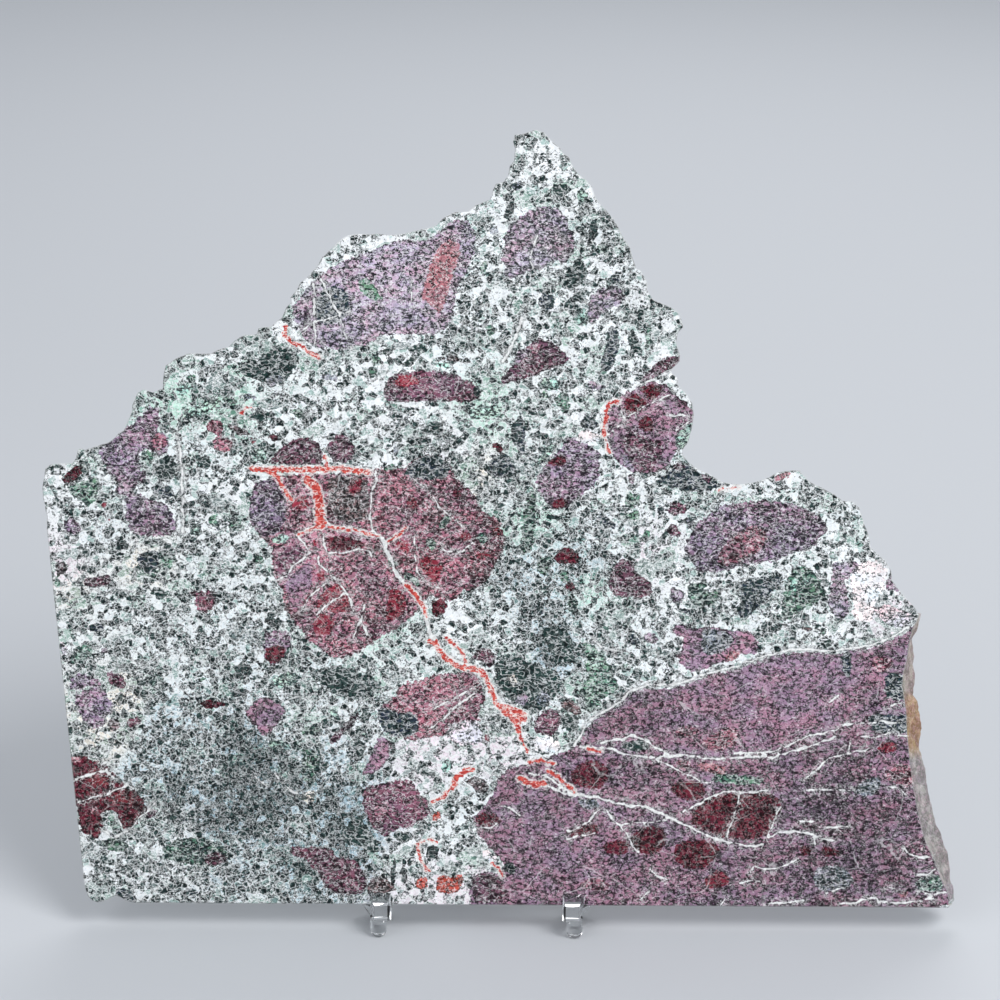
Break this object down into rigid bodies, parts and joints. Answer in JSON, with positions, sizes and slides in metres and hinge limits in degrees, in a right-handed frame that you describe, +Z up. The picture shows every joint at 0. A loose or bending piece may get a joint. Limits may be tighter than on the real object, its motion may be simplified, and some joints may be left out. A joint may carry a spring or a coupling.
{
  "type": "polished marble slab on an easel",
  "caption": "Flat polished slab of red, purple and green breccia marble with a sawn foot and a broken natural top edge, leaning on a small clear plastic display easel.",
  "frame": {"origin": "on the table, under the middle of the footprint of the slab and its easel", "axes": "+Z up; +X to the right along the slab's sawn foot, seen from the polished side; +Y to the back, where the easel's leg stands"},
  "size_m": [0.2758, 0.0976, 0.2275],
  "materials": {
    "marble": "polished front, sawn back and foot, broken edges",
    "acrylic": "clear, polished"
  },
  "bodies": {
    "root": {"marble_slab": "marble", "easel_back": "acrylic", "easel_arm_left": "acrylic", "easel_arm_right": "acrylic", "easel_leg": "acrylic"}
  },
  "joints": []
}
